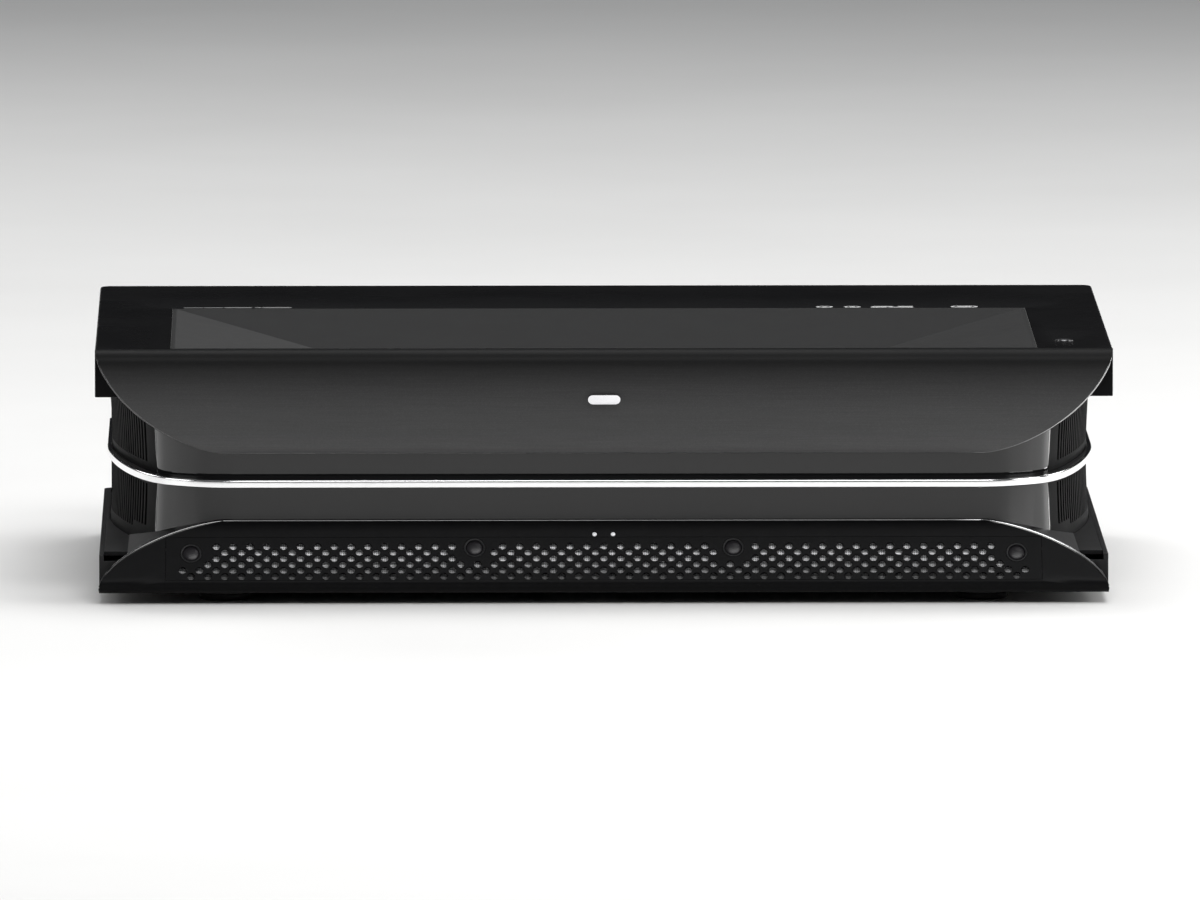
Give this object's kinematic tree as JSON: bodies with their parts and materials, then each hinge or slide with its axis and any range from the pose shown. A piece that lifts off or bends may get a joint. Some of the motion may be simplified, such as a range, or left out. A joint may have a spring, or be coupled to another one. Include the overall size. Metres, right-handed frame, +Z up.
{
  "type": "home projector",
  "caption": "Ultra-short-throw home projector: low wide casing with a light well in the top, perforated front grille, slotted sides, rear sockets and levelling feet.",
  "frame": {"origin": "on the table, under the middle of the casing", "axes": "+X to the right seen from the front, +Y to the back, +Z up; the front faces -Y"},
  "size_m": [0.548, 0.348, 0.1384],
  "materials": {
    "casing_black": "fine moulded texture",
    "casing_gloss": "gloss",
    "well_grey": "matt",
    "window": "coated",
    "visor_grey": "satin metallic",
    "badge": "polished",
    "waist_gloss": "gloss",
    "trim_chrome": "polished",
    "grille_black": "satin",
    "mesh_steel": "fine woven",
    "sensor_dark": "polished",
    "light_pipe": "clear",
    "io_black": "satin",
    "port_steel": "plated",
    "port_black": "satin",
    "brass_pins": "plated",
    "screw_steel": "black oxide",
    "insert_brass": "plain",
    "foot_rubber": "matt",
    "foot_screw": "satin",
    "button_grey": "satin",
    "pcb_green": "solder mask",
    "cast_aluminium": "cast",
    "rubber_black": "matt",
    "mirror": "coated",
    "lens_black": "satin",
    "lens_glass": "coated",
    "motor_steel": "plated",
    "pinion_white": "natural",
    "diffuser_glass": "ground",
    "laser_block": "anodised",
    "fin_aluminium": "plain",
    "speaker_black": "satin",
    "fan_black": "satin"
  },
  "bodies": {
    "casing": {"top_deck": "casing_black", "well_liner": "well_grey", "window_glass": "window", "fascia_visor": "visor_grey", "fascia_badge": "badge", "waist_panel": "waist_gloss", "trim_shelf": "casing_black", "waist_trim": "trim_chrome", "lower_visor": "casing_gloss", "front_grille": "grille_black", "grille_mesh": "mesh_steel", "sensor_lenses": "sensor_dark", "status_lights": "light_pipe", "corner_ledges": "casing_black", "side_panel_left": "casing_black", "side_panel_right": "casing_black", "rear_panel": "casing_black", "io_plate": "io_black", "hdmi_ports": "port_steel", "usb_ports": "port_steel", "lan_port": "port_steel", "audio_ports": "port_black", "ac_inlet": "port_black", "inlet_pins": "brass_pins", "base_shell": "casing_black", "case_screws": "screw_steel", "foot_inserts": "insert_brass", "button_board": "pcb_green", "optical_sled": "cast_aluminium", "sled_dampers": "rubber_black", "mirror_bracket": "cast_aluminium", "concave_mirror": "mirror", "lens_barrel": "lens_black", "lens_elements": "lens_glass", "lens_mount": "cast_aluminium", "focus_motor": "motor_steel", "engine_housing": "cast_aluminium", "diffuser_motor": "motor_steel", "laser_bank": "laser_block", "laser_heatsink": "fin_aluminium", "dmd_board": "pcb_green", "mainboard": "pcb_green", "psu_board": "pcb_green", "speakers": "speaker_black", "fan_frames": "fan_black"},
    "pad_front_left": {"foot_pad_front_left": "foot_rubber"},
    "screw_front_left": {"foot_screw_front_left": "foot_screw"},
    "pad_front_right": {"foot_pad_front_right": "foot_rubber"},
    "screw_front_right": {"foot_screw_front_right": "foot_screw"},
    "pad_rear_left": {"foot_pad_rear_left": "foot_rubber"},
    "screw_rear_left": {"foot_screw_rear_left": "foot_screw"},
    "pad_rear_right": {"foot_pad_rear_right": "foot_rubber"},
    "screw_rear_right": {"foot_screw_rear_right": "foot_screw"},
    "button": {"power_button": "button_grey"},
    "rotor_left_front": {"fan_rotor_left_front": "fan_black"},
    "rotor_left_rear": {"fan_rotor_left_rear": "fan_black"},
    "rotor_right": {"fan_rotor_right": "fan_black"},
    "diffuser": {"diffuser_wheel": "diffuser_glass"},
    "focus_gear": {"focus_ring": "lens_black"},
    "focus_drive": {"focus_pinion": "pinion_white"}
  },
  "joints": [
    {"name": "foot_front_left_travel", "type": "slide", "parent": "casing", "child": "pad_front_left", "axis": [0, 0, -1], "range_m": [0, 0.0075]},
    {"name": "foot_front_left_turn", "type": "hinge", "parent": "pad_front_left", "child": "screw_front_left", "pos_m": [-0.2045, -0.138, 0.0047], "axis": [0, 0, 1], "range_deg": [0, 2160]},
    {"name": "foot_front_right_travel", "type": "slide", "parent": "casing", "child": "pad_front_right", "axis": [0, 0, -1], "range_m": [0, 0.0075]},
    {"name": "foot_front_right_turn", "type": "hinge", "parent": "pad_front_right", "child": "screw_front_right", "pos_m": [0.2045, -0.138, 0.0047], "axis": [0, 0, 1], "range_deg": [0, 2160]},
    {"name": "foot_rear_left_travel", "type": "slide", "parent": "casing", "child": "pad_rear_left", "axis": [0, 0, -1], "range_m": [0, 0.0075]},
    {"name": "foot_rear_left_turn", "type": "hinge", "parent": "pad_rear_left", "child": "screw_rear_left", "pos_m": [-0.2045, 0.138, 0.0047], "axis": [0, 0, 1], "range_deg": [0, 2160]},
    {"name": "foot_rear_right_travel", "type": "slide", "parent": "casing", "child": "pad_rear_right", "axis": [0, 0, -1], "range_m": [0, 0.0075]},
    {"name": "foot_rear_right_turn", "type": "hinge", "parent": "pad_rear_right", "child": "screw_rear_right", "pos_m": [0.2045, 0.138, 0.0047], "axis": [0, 0, 1], "range_deg": [0, 2160]},
    {"name": "power_button_press", "type": "slide", "parent": "casing", "child": "button", "axis": [0, 0, -1], "range_m": [0, 0.0008], "stiffness_N_per_m": 600, "springref_m": -0.0005},
    {"name": "fan_rotor_left_front_spin", "type": "hinge", "parent": "casing", "child": "rotor_left_front", "pos_m": [-0.2255, -0.018, 0.06], "axis": [1, 0, 0], "continuous": true},
    {"name": "fan_rotor_left_rear_spin", "type": "hinge", "parent": "casing", "child": "rotor_left_rear", "pos_m": [-0.2255, 0.072, 0.06], "axis": [1, 0, 0], "continuous": true},
    {"name": "fan_rotor_right_spin", "type": "hinge", "parent": "casing", "child": "rotor_right", "pos_m": [0.2255, 0.05, 0.06], "axis": [1, 0, 0], "continuous": true},
    {"name": "diffuser_spin", "type": "hinge", "parent": "casing", "child": "diffuser", "pos_m": [-0.0585, 0.074, 0.06], "axis": [1, 0, 0], "continuous": true},
    {"name": "focus_ring_turn", "type": "hinge", "parent": "casing", "child": "focus_gear", "pos_m": [0, -0.035, 0.05], "axis": [0, 1, 0], "range_deg": [-25, 35]},
    {"name": "focus_pinion_turn", "type": "hinge", "parent": "casing", "child": "focus_drive", "pos_m": [0.03215, -0.035, 0.07251], "axis": [0, 1, 0], "range_deg": [-160, 120]}
  ],
  "couplings": [
    {"joint": "foot_front_left_turn", "follows": "foot_front_left_travel", "rad_per_m": 5026.5},
    {"joint": "foot_front_right_turn", "follows": "foot_front_right_travel", "rad_per_m": 5026.5},
    {"joint": "foot_rear_left_turn", "follows": "foot_rear_left_travel", "rad_per_m": 5026.5},
    {"joint": "foot_rear_right_turn", "follows": "foot_rear_right_travel", "rad_per_m": 5026.5},
    {"joint": "focus_pinion_turn", "follows": "focus_ring_turn", "ratio": -4.4444}
  ]
}
